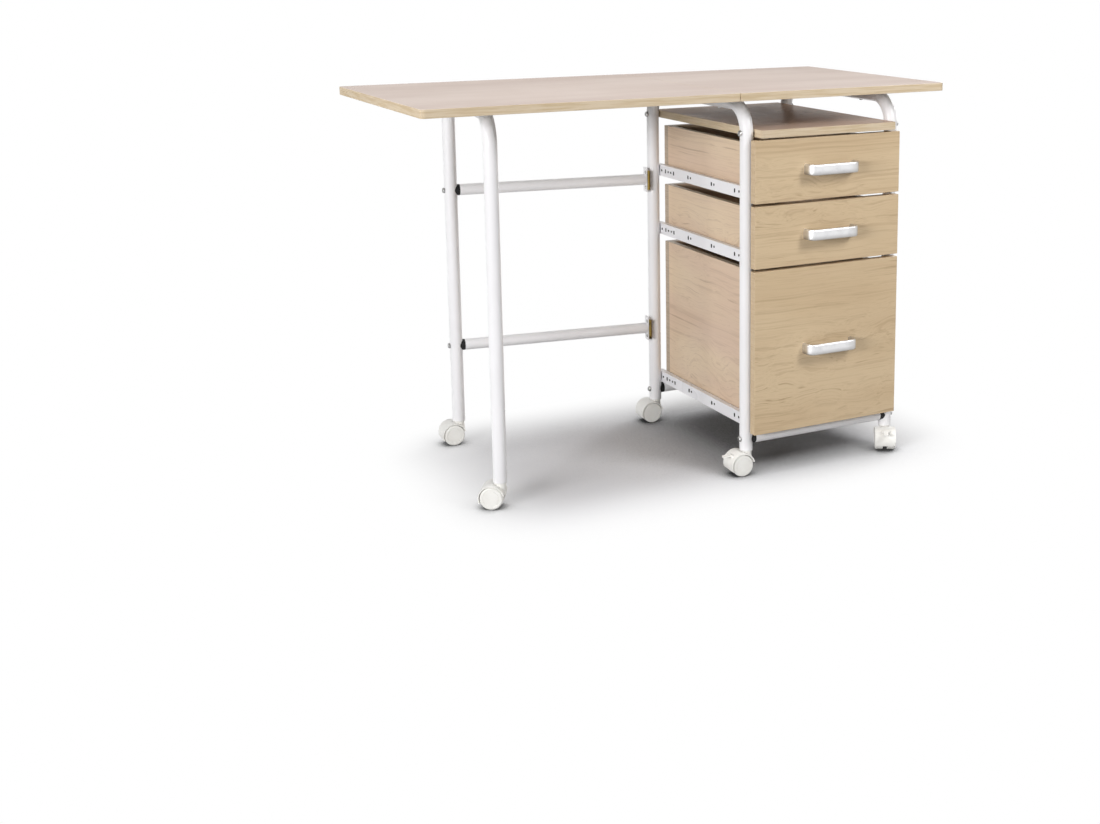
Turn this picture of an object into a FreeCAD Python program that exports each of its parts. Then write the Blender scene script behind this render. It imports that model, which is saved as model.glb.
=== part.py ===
import FreeCAD, Part
import math
import os

# Folding desk on casters: a drawer pedestal, a drop leaf hinged to its top, and a gate of bent tube
# that swings out from the rear left post to carry the leaf. Millimetres, X right, Y back, Z up.
# The pieces are laid out from the foot of the pedestal's front left post. At the end they are moved
# so that the origin is the middle of the covered floor.

# Boards of the top
DESK_HEIGHT = 730.0
BOARD = 15.0
TOP_LENGTH = 448.0
LEAF_LENGTH = 585.0
TOP_DEPTH = 488.0
SEAM_GAP = 1.0
LEFT_OVERHANG = 42.0
FRONT_OVERHANG = 54.0
BOARD_CORNER = 8.0
SEAM_CORNER = 2.0
BOARD_EDGE = 0.8

# Pedestal frames of bent tube
POST_SPAN = 320.0
POST_DEPTH = 385.0
TUBE = 25.0
TUBE_WALL = 1.5
BEND = 52.0
POST_FOOT = 48.0
SEAT = 0.1
TOP_SCREW_INSET = 101.0

# Shelf between the side frames
SHELF_DROP = 56.5
SHELF_FRONT_OVERHANG = 35.0
SHELF_REAR_OVERHANG = 15.0

# Straight bars: cross tubes of the pedestal and stretchers of the gate
BAR = 22.0
BAR_WALL = 1.2
CROSS_HEIGHT = 69.0
CAP_FLANGE = 4.5
CAP_PLUG = 14.0

# Fasteners
BOLT_HEAD = 11.0
BOLT_HEAD_HEIGHT = 4.0
BOLT_SHANK = 6.0
BOLT_GRIP = 24.0
SCREW_HEAD = 7.0
SCREW_HEAD_HEIGHT = 1.5
SCREW_SHANK = 4.0
SCREW_BITE = 9.0
HOLE_CLEAR = 0.1
OVERCUT = 1.0

# Drawer fronts
FRONT_WIDTH = 320.0
FRONT_BOARD = 16.0
FRONT_CLEAR = 3.5
SMALL_FRONT = 116.5
FRONT_SPACE = 5.5
SHELF_SPACE = 4.0
LOWEST_FRONT = 82.5
FRONT_EDGE = 0.6

# Drawer boxes
SIDE_BOARD = 12.0
BACK_BOARD = 16.0
BOX_LENGTH = 398.0
PANEL = 5.0
PANEL_LIFT = 8.0
GROOVE = 4.0
SMALL_SIDE_DROP = 13.0
FILE_SIDE_DROP = 10.5
DRAWER_TRAVEL = 300.0

# Roller runners
RAIL_HEIGHT = 23.0
RAIL_DEPTH = 10.5
RAIL_LIFT = 12.0
RAIL_END = 11.0
SHEET = 1.2
RUNNER_CLEAR = 0.9
RUNNER_LEDGE = 12.0
RUNNER_EDGE = 0.5
RUNNER_REAR = 4.0
RUNNER_SCREW_INSET = 60.0
RUNNER_BITE = 6.0
ROLLER = 15.0
ROLLER_WIDTH = 6.5
ROLLER_PLACE = 14.0
ROLLER_GAP = 0.2
ROLLER_LIFT = 1.0
STUD = 4.0
HOLE_WIDTH = 5.0
HOLE_TALL = 8.5
HOLE_END_SET = 14.0
HOLE_REAR_SET = 31.0
HOLE_STEP = 12.0
HOLE_FRONT_PAIR = 153.0
HOLE_REAR_PAIR = 250.0
HOLE_PAIR_SPACE = 10.5
HOLE_FRONT_SET = 50.0
HOLE_FRONT_SPACE = 16.5

# Bow handles
HANDLE_LENGTH = 111.0
HANDLE_REACH = 26.5
HANDLE_HEIGHT = 20.5
HANDLE_BAR = 7.5
HANDLE_CORNER = 15.0
HANDLE_EDGE = 3.2

# Gate and its hinges
GATE_ANGLE = 8.5
GATE_REACH = 403.5
GATE_WIDTH = 388.0
GATE_SET = 14.0
GATE_TOP_CLEAR = 0.4
LOWER_STRETCHER = 203.0
UPPER_STRETCHER_DROP = 198.0
FLANGE_HEIGHT = 49.0
FLANGE = 2.5
FLANGE_START = 3.5
FLANGE_END = 25.0
FLANGE_SCREW_SPACE = 31.0
FLANGE_SCREW_SET = 9.0
HINGE_HEIGHT = 40.0
HINGE_SHEET = 1.2
HINGE_SLIT = 0.1
KNUCKLE = 6.0
KNUCKLE_PART = 14.0
KNUCKLE_SLIT = 0.3
HINGE_PIN = 2.8
PIN_CLEAR = 0.05
BRACKET = 1.5
WELD = 4.0
POST_SET = 18.0
BRACKET_SCREW_SPACE = 22.0
BRACKET_SCREW_SET = 7.5
BRACKET_SCREW_HEAD = 5.6

# Hinges under the seam of the top
SEAM_HINGE_LENGTH = 60.0
SEAM_HINGE_WIDTH = 24.0
SEAM_HINGE_INSET = 35.0
SEAM_HINGE_REAR_INSET = 35.0
SEAM_AXIS_DROP = 3.0
SEAM_KNUCKLE = 5.6
SEAM_SCREW_SPACE = 36.0
SEAM_SCREW_SET = 15.0

# Casters
WHEEL = 42.0
CASTER_WIDTH = 41.0
CASTER_TRAIL = 14.0
CASTER_WEB = 8.0
WHEEL_SLIT = 0.75
WHEEL_INSET = 1.0
WHEEL_EDGE = 3.5
WHEEL_GROOVE = 30.0
WHEEL_GROOVE_WIDTH = 1.5
WHEEL_GROOVE_DEPTH = 0.8
HOOD_GAP = 1.0
HOOD_WALL = 2.0
HOOD_TILT = 18.5
HOOD_DROP = 1.5
HOOD_NECK = 20.0
HOOD_NECK_FLARE = 1.5
HOOD_NECK_LENGTH = 16.0
HOOD_BOSS = 16.0
AXLE = 6.0
AXLE_LENGTH = 32.0
STEM = 10.0
STEM_LENGTH = 14.0
SOCKET_FLANGE = 2.0
SOCKET_LENGTH = 16.0
SWIVEL_GAP = 0.3
LEVER_WIDTH = 10.5
LEVER_LENGTH = 16.0
LEVER_SHEET = 3.0
LEVER_BARREL = 4.6
LEVER_PIN = 2.4
LEVER_ANGLE = 45.0
LEVER_LIFT = 2.8
LEVER_TILT = 8.0
LUG_WALL = 2.2
LUG_GAP = 0.25

# Trailing direction of each caster, in degrees from +X
TRAIL_FRONT_LEFT = 176.0
TRAIL_REAR_LEFT = 176.0
TRAIL_FRONT_RIGHT = 240.0
TRAIL_REAR_RIGHT = 190.0
TRAIL_GATE_REAR = 175.0
TRAIL_GATE_FRONT = 150.0

# Places worked out from the sizes above
V = FreeCAD.Vector
UP = V(0, 0, 1)
RIGHT = V(1, 0, 0)
LEFT = V(-1, 0, 0)
BACK = V(0, 1, 0)
FRONT = V(0, -1, 0)
UNDERSIDE = DESK_HEIGHT - BOARD
SHELF_TOP = UNDERSIDE - SHELF_DROP
STRETCHER_HEIGHTS = (LOWER_STRETCHER, UNDERSIDE - UPPER_STRETCHER_DROP)
FRAME_TOP = UNDERSIDE - SEAT - TUBE / 2
TOP_LEFT = -LEFT_OVERHANG
TOP_RIGHT = TOP_LEFT + TOP_LENGTH
TOP_FRONT = -FRONT_OVERHANG
TOP_BACK = TOP_FRONT + TOP_DEPTH
LEAF_RIGHT = TOP_LEFT - SEAM_GAP
LEAF_LEFT = LEAF_RIGHT - LEAF_LENGTH
SEAM_X = TOP_LEFT - SEAM_GAP / 2
SEAM_AXIS_Z = UNDERSIDE - SEAM_AXIS_DROP
SEAM_HINGE_PLACES = (SEAM_HINGE_INSET, POST_DEPTH - SEAM_HINGE_REAR_INSET)
MIDDLE_X = POST_SPAN / 2
FRONT_BACK_Y = -TUBE / 2 - FRONT_CLEAR
FRONT_FACE_Y = FRONT_BACK_Y - FRONT_BOARD
FILE_BOTTOM = LOWEST_FRONT
FILE_FRONT = SHELF_TOP - BOARD - SHELF_SPACE - LOWEST_FRONT - 2 * (SMALL_FRONT + FRONT_SPACE)
MIDDLE_BOTTOM = FILE_BOTTOM + FILE_FRONT + FRONT_SPACE
UPPER_BOTTOM = MIDDLE_BOTTOM + SMALL_FRONT + FRONT_SPACE
RAIL_X = TUBE / 2 + SEAT
RUNNER_X = RAIL_X + RAIL_DEPTH + RUNNER_CLEAR
SIDE_X = RUNNER_X + SHEET
BOX_BACK_Y = FRONT_BACK_Y + BOX_LENGTH
ROLLER_X = RAIL_X + SHEET + SCREW_HEAD_HEIGHT + ROLLER_GAP
AXLE_Z = WHEEL / 2
HOOD_INNER = WHEEL / 2 + HOOD_GAP
HOOD_OUTER = HOOD_INNER + HOOD_WALL
HOOD_TOP = POST_FOOT - SOCKET_FLANGE - SWIVEL_GAP
GATE_TOP = UNDERSIDE - GATE_TOP_CLEAR - TUBE / 2
POST_OFFSET = HINGE_SLIT + HINGE_SHEET + BRACKET + SEAT + TUBE / 2
DRAWERS = {
    "upper": (UPPER_BOTTOM, SMALL_FRONT, SMALL_SIDE_DROP),
    "middle": (MIDDLE_BOTTOM, SMALL_FRONT, SMALL_SIDE_DROP),
    "file": (FILE_BOTTOM, FILE_FRONT, FILE_SIDE_DROP),
}


def turned(x, y, degrees):
    """A point of the floor plan turned about the origin."""
    c = math.cos(math.radians(degrees))
    s = math.sin(math.radians(degrees))
    return x * c - y * s, x * s + y * c


HINGE_BACK = turned(POST_OFFSET, POST_SET, -GATE_ANGLE)
GATE_PIVOT = V(-HINGE_BACK[0], POST_DEPTH - HINGE_BACK[1], 0)


def gate_place(x, y):
    """Floor point of a place given along the gate's own axes from its pivot."""
    px, py = turned(x, y, -GATE_ANGLE)
    return GATE_PIVOT.x + px, GATE_PIVOT.y + py


GATE_REAR_POST = gate_place(-GATE_REACH, GATE_SET)
GATE_FRONT_POST = gate_place(-GATE_REACH, GATE_SET - GATE_WIDTH)
CASTERS = {
    "front_left": (0.0, 0.0, TRAIL_FRONT_LEFT),
    "rear_left": (0.0, POST_DEPTH, TRAIL_REAR_LEFT),
    "front_right": (POST_SPAN, 0.0, TRAIL_FRONT_RIGHT),
    "rear_right": (POST_SPAN, POST_DEPTH, TRAIL_REAR_RIGHT),
    "gate_rear": (*GATE_REAR_POST, TRAIL_GATE_REAR),
    "gate_front": (*GATE_FRONT_POST, TRAIL_GATE_FRONT),
}
BRAKED = ("front_left", "front_right")
FRONT_REACH = min(TOP_FRONT, FRONT_FACE_Y - HANDLE_REACH)
TRAIL_SINE = math.sin(math.radians(TRAIL_GATE_REAR))
TRAIL_COSINE = math.cos(math.radians(TRAIL_GATE_REAR))
CASTER_BACK = CASTER_TRAIL * TRAIL_SINE + abs(CASTER_WIDTH / 2 * TRAIL_COSINE) + abs(HOOD_OUTER * TRAIL_SINE)
BACK_REACH = GATE_REAR_POST[1] + CASTER_BACK
ORIGIN = V((LEAF_LEFT + TOP_RIGHT) / 2, (FRONT_REACH + BACK_REACH) / 2, 0)


def box(x0, x1, y0, y1, z0, z1):
    """Box between two corners."""
    return Part.makeBox(x1 - x0, y1 - y0, z1 - z0, V(x0, y0, z0))


def rod(diameter, start, direction, length):
    """Cylinder from a start point along a direction."""
    return Part.makeCylinder(diameter / 2, length, start, direction)


def mirrored(shape):
    """The shape on the pedestal's other side."""
    return shape.mirror(V(MIDDLE_X, 0, 0), RIGHT)


def joined(*shapes):
    """Shapes that touch or overlap, as one solid."""
    return shapes[0].fuse(list(shapes[1:])).removeSplitter()


def level_edges(shape, *levels):
    """Edges that lie wholly at one of the given heights."""
    picked = []
    for edge in shape.Edges:
        b = edge.BoundBox
        for level in levels:
            if abs(b.ZMin - level) < 1e-6 and abs(b.ZMax - level) < 1e-6:
                picked.append(edge)
    return picked


def upright_edges(shape, x):
    """Vertical edges of a box at one x."""
    picked = []
    for edge in shape.Edges:
        b = edge.BoundBox
        if b.ZLength > 1e-6 and b.XLength < 1e-6 and b.YLength < 1e-6 and abs(b.XMin - x) < 1e-6:
            picked.append(edge)
    return picked


def fastener(point, direction, head, head_height, shank, length):
    """Pan head with a cross recess, its seat at the point, and a shank that runs along the direction."""
    dome = Part.makeCylinder(head / 2, head_height, V(0, 0, -head_height))
    dome = dome.makeFillet(head_height * 0.6, level_edges(dome, -head_height))
    arm, slit, depth = head * 0.28, head * 0.05, head_height * 0.5
    for half_x, half_y in ((arm, slit), (slit, arm)):
        dome = dome.cut(box(-half_x, half_x, -half_y, half_y, -head_height, -head_height + depth))
    body = joined(dome, Part.makeCylinder(shank / 2, length))
    body.Placement = FreeCAD.Placement(point, FreeCAD.Rotation(UP, direction))
    return body


def bolt(point, direction, length):
    """Machine bolt through a tube."""
    return fastener(point, direction, BOLT_HEAD, BOLT_HEAD_HEIGHT, BOLT_SHANK, length)


def screw(point, direction, length):
    """Pan head screw."""
    return fastener(point, direction, SCREW_HEAD, SCREW_HEAD_HEIGHT, SCREW_SHANK, length)


def drilled(shape, diameter, point, direction, length):
    """The shape with a clearance hole for a shank."""
    return shape.cut(rod(diameter + 2 * HOLE_CLEAR, point, direction, length))


def board(x0, x1, z0, z1, left_corner, right_corner):
    """Board of the top's depth with rounded corners and eased edges."""
    shape = box(x0, x1, TOP_FRONT, TOP_BACK, z0, z1)
    shape = shape.makeFillet(left_corner, upright_edges(shape, x0))
    shape = shape.makeFillet(right_corner, upright_edges(shape, x1))
    return shape.makeFillet(BOARD_EDGE, level_edges(shape, z0, z1))


def bent_tube(start, end, top):
    """Tube that rises at one floor point, bends over and comes down at another."""
    along = V(end[0] - start[0], end[1] - start[1], 0)
    span = along.Length
    along = along / span
    foot = V(start[0], start[1], POST_FOOT)
    corner = math.sqrt(0.5)

    def point(reach, height):
        return V(start[0], start[1], height) + along * reach

    rise = top - BEND
    path = Part.Wire([
        Part.LineSegment(foot, point(0, rise)).toShape(),
        Part.Arc(point(0, rise), point(BEND - BEND * corner, rise + BEND * corner),
                 point(BEND, top)).toShape(),
        Part.LineSegment(point(BEND, top), point(span - BEND, top)).toShape(),
        Part.Arc(point(span - BEND, top), point(span - BEND + BEND * corner, rise + BEND * corner),
                 point(span, rise)).toShape(),
        Part.LineSegment(point(span, rise), point(span, POST_FOOT)).toShape(),
    ])
    skins = []
    for radius in (TUBE / 2, TUBE / 2 - TUBE_WALL):
        ring = Part.Wire([Part.Circle(foot, UP, radius).toShape()])
        skins.append(path.makePipeShell([ring], True, True))
    return skins[0].cut(skins[1])


def saddle_cap(x, y, z, direction):
    """Plastic plug between a bar's end and the post at the given axis, hollowed to fit the post."""
    flange = rod(BAR, V(x, y, z), direction, TUBE / 2 + CAP_FLANGE)
    seat = V(x, y, z) + direction * (TUBE / 2 + CAP_FLANGE)
    plug = rod(BAR - 2 * BAR_WALL - 2 * SEAT, seat, direction, CAP_PLUG)
    cap = joined(flange, plug)
    cap = cap.cut(rod(TUBE + 2 * SEAT, V(x, y, z - BAR), UP, 2 * BAR))
    return drilled(cap, BOLT_SHANK, V(x, y, z), direction, TUBE + CAP_FLANGE + CAP_PLUG)


def hollow_bar(start, direction, length):
    """Straight round tube."""
    inside = rod(BAR - 2 * BAR_WALL, start, direction, length)
    return rod(BAR, start, direction, length).cut(inside)


def rail_levels():
    """Middle height of the rails of each drawer."""
    return [bottom + RAIL_LIFT for bottom, _, _ in DRAWERS.values()]


def top_screw_places():
    """Places along a side frame where the top is screwed on."""
    return (TOP_SCREW_INSET, POST_DEPTH - TOP_SCREW_INSET)


def seam_screw_places(side):
    """Screw places of the hinges under the seam, on one side of it."""
    x = SEAM_X + side * SEAM_SCREW_SET
    return [(x, y + step * SEAM_SCREW_SPACE / 2) for y in SEAM_HINGE_PLACES for step in (-1, 1)]


def fixed_top():
    """Board over the pedestal."""
    shape = board(TOP_LEFT, TOP_RIGHT, UNDERSIDE, DESK_HEIGHT, SEAM_CORNER, BOARD_CORNER)
    places = [(x, y) for x in (0, POST_SPAN) for y in top_screw_places()]
    for x, y in places + seam_screw_places(1):
        shape = drilled(shape, SCREW_SHANK, V(x, y, UNDERSIDE), UP, SCREW_BITE + HOLE_CLEAR)
    return shape


def leaf_board():
    """Drop leaf beside the pedestal."""
    shape = board(LEAF_LEFT, LEAF_RIGHT, UNDERSIDE, DESK_HEIGHT, BOARD_CORNER, SEAM_CORNER)
    for x, y in seam_screw_places(-1):
        shape = drilled(shape, SCREW_SHANK, V(x, y, UNDERSIDE), UP, SCREW_BITE + HOLE_CLEAR)
    return shape


def left_side_frame():
    """Bent tube of one pedestal side, drilled for its bolts and screws."""
    shape = bent_tube((0, 0), (0, POST_DEPTH), FRAME_TOP)
    for y in (0, POST_DEPTH):
        for z in (CROSS_HEIGHT, SHELF_TOP - BOARD / 2):
            shape = drilled(shape, BOLT_SHANK, V(-TUBE, y, z), RIGHT, 2 * TUBE)
        for z in rail_levels():
            shape = drilled(shape, SCREW_SHANK, V(0, y, z), RIGHT, TUBE)
    for y in top_screw_places():
        shape = drilled(shape, SCREW_SHANK, V(0, y, FRAME_TOP - TUBE), UP, 2 * TUBE)
    return shape


def shelf_board():
    """Shelf between the side frames, proud of the drawer fronts."""
    x0 = TUBE / 2 + SEAT
    x1 = POST_SPAN - x0
    y0 = -SHELF_FRONT_OVERHANG
    y1 = POST_DEPTH + SHELF_REAR_OVERHANG
    shape = box(x0, x1, y0, y1, SHELF_TOP - BOARD, SHELF_TOP)
    shape = shape.makeFillet(BOARD_EDGE, shape.Edges)
    for y in (0, POST_DEPTH):
        z = SHELF_TOP - BOARD / 2
        shape = drilled(shape, BOLT_SHANK, V(x0, y, z), RIGHT, BOLT_GRIP + HOLE_CLEAR)
        shape = drilled(shape, BOLT_SHANK, V(x1, y, z), LEFT, BOLT_GRIP + HOLE_CLEAR)
    return shape


def cross_tubes():
    """Two bars low down between the side frames."""
    start = TUBE / 2 + CAP_FLANGE
    return [hollow_bar(V(start, y, CROSS_HEIGHT), RIGHT, POST_SPAN - 2 * start) for y in (0, POST_DEPTH)]


def cross_tube_caps():
    """Black plugs at the ends of the cross tubes."""
    caps = [saddle_cap(0, y, CROSS_HEIGHT, RIGHT) for y in (0, POST_DEPTH)]
    return caps + [mirrored(cap) for cap in caps]


def frame_bolts():
    """Bolts through the posts into the cross tubes and the shelf."""
    bolts = []
    for y in (0, POST_DEPTH):
        for z in (CROSS_HEIGHT, SHELF_TOP - BOARD / 2):
            head = V(-TUBE / 2 - SEAT, y, z)
            bolts.append(bolt(head, RIGHT, TUBE + 2 * SEAT + BOLT_GRIP))
    return bolts + [mirrored(b) for b in bolts]


def pedestal_screws():
    """Screws of the top, the rails and the fixed hinge leaves."""
    screws = []
    for y in top_screw_places():
        head = V(0, y, FRAME_TOP - TUBE / 2 - SEAT)
        screws.append(screw(head, UP, TUBE + 2 * SEAT + SCREW_BITE))
    for y in (0, POST_DEPTH):
        for z in rail_levels():
            screws.append(screw(V(RAIL_X + SHEET, y, z), LEFT, SHEET + SCREW_BITE))
    screws += [mirrored(s) for s in screws]
    for x, y in seam_screw_places(1):
        screws.append(screw(V(x, y, UNDERSIDE - HINGE_SHEET), UP, HINGE_SHEET + SCREW_BITE))
    return screws + bracket_screws()


def rail_holes():
    """Hole places along a rail: distance from the front post and height of the hole."""
    holes = [(HOLE_FRONT_SET, HOLE_WIDTH), (HOLE_FRONT_SET + HOLE_FRONT_SPACE, HOLE_TALL)]
    for middle in (HOLE_FRONT_PAIR, HOLE_REAR_PAIR):
        holes.append((middle - HOLE_PAIR_SPACE / 2, HOLE_WIDTH))
        holes.append((middle + HOLE_PAIR_SPACE / 2, HOLE_TALL))
    for i, height in enumerate((HOLE_TALL, HOLE_WIDTH, HOLE_WIDTH, HOLE_TALL)):
        holes.append((POST_DEPTH - HOLE_REAR_SET - i * HOLE_STEP, height))
    return holes + [(POST_DEPTH - HOLE_END_SET, HOLE_WIDTH)]


def slot_cut(y, height, z):
    """Upright round-ended slot through a rail's web."""
    half = (height - HOLE_WIDTH) / 2
    start = RAIL_X - OVERCUT
    ends = [rod(HOLE_WIDTH, V(start, y, z + step), RIGHT, SHEET + 2 * OVERCUT) for step in (-half, half)]
    if half < HOLE_CLEAR:
        return ends[0]
    end = RAIL_X + SHEET + OVERCUT
    body = box(start, end, y - HOLE_WIDTH / 2, y + HOLE_WIDTH / 2, z - half, z + half)
    return joined(body, *ends)


def outer_rail(z):
    """Channel on the inner side of the left posts, with the stud of its front roller."""
    x0, x1 = RAIL_X, RAIL_X + RAIL_DEPTH
    y0, y1 = -RAIL_END, POST_DEPTH + RAIL_END
    low, high = z - RAIL_HEIGHT / 2, z + RAIL_HEIGHT / 2
    hollow = box(x0 + SHEET, x1 + OVERCUT, y0 - OVERCUT, y1 + OVERCUT, low + SHEET, high - SHEET)
    channel = box(x0, x1, y0, y1, low, high).cut(hollow)
    for y, height in rail_holes():
        channel = channel.cut(slot_cut(y, height, z))
    for y in (0, POST_DEPTH):
        channel = drilled(channel, SCREW_SHANK, V(x0 - OVERCUT, y, z), RIGHT, SHEET + 2 * OVERCUT)
    stud = rod(STUD, V(x0, ROLLER_PLACE, front_roller_height(z)), RIGHT, ROLLER_X + ROLLER_WIDTH - x0)
    return joined(channel, stud)


def front_roller_height(z):
    """Axis of the roller that is fixed in the rail."""
    return z - RAIL_HEIGHT / 2 + SHEET + ROLLER / 2 + ROLLER_LIFT


def roller(y, z):
    """Plain roller with a bore for its stud."""
    start = V(ROLLER_X, y, z)
    shape = rod(ROLLER, start, RIGHT, ROLLER_WIDTH)
    return drilled(shape, STUD, start, RIGHT, ROLLER_WIDTH)


def both_sides(shapes):
    """The shapes and their mirror images."""
    return shapes + [mirrored(s) for s in shapes]


def drawer_runner(z):
    """Runner under the left drawer side, with the stud of its rear roller."""
    y0, y1 = FRONT_BACK_Y + RUNNER_EDGE, BOX_BACK_Y - RUNNER_REAR
    low = z - RAIL_HEIGHT / 2 + RUNNER_EDGE
    shelf = front_roller_height(z) + ROLLER / 2 + ROLLER_GAP
    web = box(RUNNER_X, SIDE_X, y0, y1, low, shelf + SHEET)
    ledge = box(RUNNER_X, SIDE_X + RUNNER_LEDGE, y0, y1, low, low + SHEET)
    track = box(ROLLER_X, SIDE_X, y0, y1, shelf, shelf + SHEET)
    stud_at = V(ROLLER_X, rear_roller_place(), rear_roller_height(z))
    stud = rod(STUD, stud_at, RIGHT, RUNNER_X - ROLLER_X + SHEET / 2)
    shape = joined(web, ledge, track, stud)
    for y in runner_screw_places():
        shape = drilled(shape, SCREW_SHANK, V(RUNNER_X - OVERCUT, y, z), RIGHT, SHEET + 2 * OVERCUT)
    return shape


def rear_roller_place():
    """Place of the roller at the runner's rear end."""
    return BOX_BACK_Y - RUNNER_REAR - ROLLER / 2 - RUNNER_EDGE


def rear_roller_height(z):
    """Axis of the roller that runs in the rail."""
    return z - RAIL_HEIGHT / 2 + SHEET + ROLLER / 2 + ROLLER_GAP


def runner_screw_places():
    """Places along a runner where it is screwed to the drawer side."""
    return (FRONT_BACK_Y + RUNNER_SCREW_INSET, BOX_BACK_Y - RUNNER_SCREW_INSET)


def drawer_runners(bottom):
    """Runners and rear rollers of one drawer."""
    z = bottom + RAIL_LIFT
    return both_sides([drawer_runner(z), roller(rear_roller_place(), rear_roller_height(z))])


def side_bottom(bottom):
    """Lower edge of a drawer side, which sits on its runner's ledge."""
    return bottom + RAIL_LIFT - RAIL_HEIGHT / 2 + RUNNER_EDGE + SHEET


def panel_box(bottom, grow):
    """Bottom panel of a drawer, grown all round for the grooves that hold it."""
    reach = SIDE_BOARD - GROOVE
    z = side_bottom(bottom) + PANEL_LIFT
    y0, y1 = FRONT_BACK_Y - GROOVE, BOX_BACK_Y - BACK_BOARD + GROOVE
    return box(SIDE_X + reach - grow, POST_SPAN - SIDE_X - reach + grow,
               y0 - grow, y1 + grow, z - grow, z + PANEL + grow)


def drawer_front(bottom, height):
    """Front panel with eased edges, a groove for the bottom panel and the handle's screw holes."""
    x0, x1 = MIDDLE_X - FRONT_WIDTH / 2, MIDDLE_X + FRONT_WIDTH / 2
    shape = box(x0, x1, FRONT_FACE_Y, FRONT_BACK_Y, bottom, bottom + height)
    shape = shape.makeFillet(FRONT_EDGE, shape.Edges)
    shape = shape.cut(panel_box(bottom, HOLE_CLEAR))
    for x in handle_legs():
        start = V(x, FRONT_FACE_Y - OVERCUT, bottom + height / 2)
        shape = drilled(shape, SCREW_SHANK, start, BACK, FRONT_BOARD + 2 * OVERCUT)
    return shape


def drawer_sides(bottom, height, drop):
    """The two side boards of a drawer, grooved for the bottom panel."""
    end = BOX_BACK_Y - BACK_BOARD
    side = box(SIDE_X, SIDE_X + SIDE_BOARD, FRONT_BACK_Y, end, side_bottom(bottom), bottom + height - drop)
    side = side.cut(panel_box(bottom, HOLE_CLEAR))
    for y in runner_screw_places():
        side = drilled(side, SCREW_SHANK, V(SIDE_X, y, bottom + RAIL_LIFT), RIGHT, RUNNER_BITE + HOLE_CLEAR)
    return both_sides([side])


def drawer_back(bottom, height, drop):
    """Back board of a drawer, across the ends of its sides and grooved for the bottom panel."""
    start = BOX_BACK_Y - BACK_BOARD
    low, high = side_bottom(bottom), bottom + height - drop
    return box(SIDE_X, POST_SPAN - SIDE_X, start, BOX_BACK_Y, low, high).cut(panel_box(bottom, HOLE_CLEAR))


def handle_legs():
    """Middle of the handle's two legs."""
    half = (HANDLE_LENGTH - HANDLE_BAR) / 2
    return (MIDDLE_X - half, MIDDLE_X + half)


def bow_outline(half, reach, corner):
    """Closed outline of a bow in plan: straight legs, rounded front corners."""
    lean = corner * (1 - math.sqrt(0.5))
    left, right = MIDDLE_X - half, MIDDLE_X + half
    base, tip = FRONT_FACE_Y, FRONT_FACE_Y - reach
    return Part.Wire([
        Part.LineSegment(V(right, base), V(left, base)).toShape(),
        Part.LineSegment(V(left, base), V(left, tip + corner)).toShape(),
        Part.Arc(V(left, tip + corner), V(left + lean, tip + lean), V(left + corner, tip)).toShape(),
        Part.LineSegment(V(left + corner, tip), V(right - corner, tip)).toShape(),
        Part.Arc(V(right - corner, tip), V(right - lean, tip + lean), V(right, tip + corner)).toShape(),
        Part.LineSegment(V(right, tip + corner), V(right, base)).toShape(),
    ])


def drawer_handle(bottom, height):
    """Bow handle: a flat bar bent back to the drawer front at both ends."""
    half = HANDLE_LENGTH / 2
    low = bottom + height / 2 - HANDLE_HEIGHT / 2
    outer = Part.Face(bow_outline(half, HANDLE_REACH, HANDLE_CORNER))
    inner = Part.Face(bow_outline(half - HANDLE_BAR, HANDLE_REACH - HANDLE_BAR, HANDLE_CORNER - HANDLE_BAR))
    shape = outer.cut(inner).extrude(UP * HANDLE_HEIGHT)
    shape.translate(UP * low)
    rims = [e for e in level_edges(shape, low, low + HANDLE_HEIGHT) if e.BoundBox.YMin < FRONT_FACE_Y - 1e-6]
    shape = shape.Solids[0].makeFillet(HANDLE_EDGE, rims)
    for x in handle_legs():
        start = V(x, FRONT_FACE_Y, bottom + height / 2)
        shape = drilled(shape, SCREW_SHANK, start, FRONT, SCREW_BITE + HOLE_CLEAR)
    return shape


def drawer_screws(bottom, height):
    """Screws of the handle and of the runners of one drawer."""
    handle = [screw(V(x, FRONT_BACK_Y, bottom + height / 2), FRONT, FRONT_BOARD + SCREW_BITE)
              for x in handle_legs()]
    runner = [screw(V(RUNNER_X, y, bottom + RAIL_LIFT), RIGHT, SHEET + RUNNER_BITE)
              for y in runner_screw_places()]
    return handle + both_sides(runner)


def at_gate(shape):
    """Puts a shape made along the gate's own axes at its place on the desk."""
    shape.rotate(V(0, 0, 0), UP, -GATE_ANGLE)
    shape.translate(GATE_PIVOT)
    return shape


def gate_frame():
    """Bent tube of the gate, drilled for the stretcher bolts."""
    shape = bent_tube((-GATE_REACH, GATE_SET), (-GATE_REACH, GATE_SET - GATE_WIDTH), GATE_TOP)
    for z in STRETCHER_HEIGHTS:
        shape = drilled(shape, BOLT_SHANK, V(-GATE_REACH - TUBE, GATE_SET, z), RIGHT, 2 * TUBE)
    return at_gate(shape)


def gate_stretchers():
    """Two bars from the hinges to the gate's rear post, each with its welded flange plate."""
    plate_x = -HINGE_SLIT - HINGE_SHEET
    bars = []
    for z in STRETCHER_HEIGHTS:
        start = -GATE_REACH + TUBE / 2 + CAP_FLANGE
        bar = hollow_bar(V(start, GATE_SET, z), RIGHT, plate_x - FLANGE - start)
        plate = box(plate_x - FLANGE, plate_x, FLANGE_START, FLANGE_END,
                    z - FLANGE_HEIGHT / 2, z + FLANGE_HEIGHT / 2)
        shape = joined(bar, plate)
        for step in (-1, 1):
            hole = V(plate_x - 2 * FLANGE, FLANGE_SCREW_SET, z + step * FLANGE_SCREW_SPACE / 2)
            shape = drilled(shape, SCREW_SHANK, hole, RIGHT, 3 * FLANGE)
        bars.append(at_gate(shape))
    return bars


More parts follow.
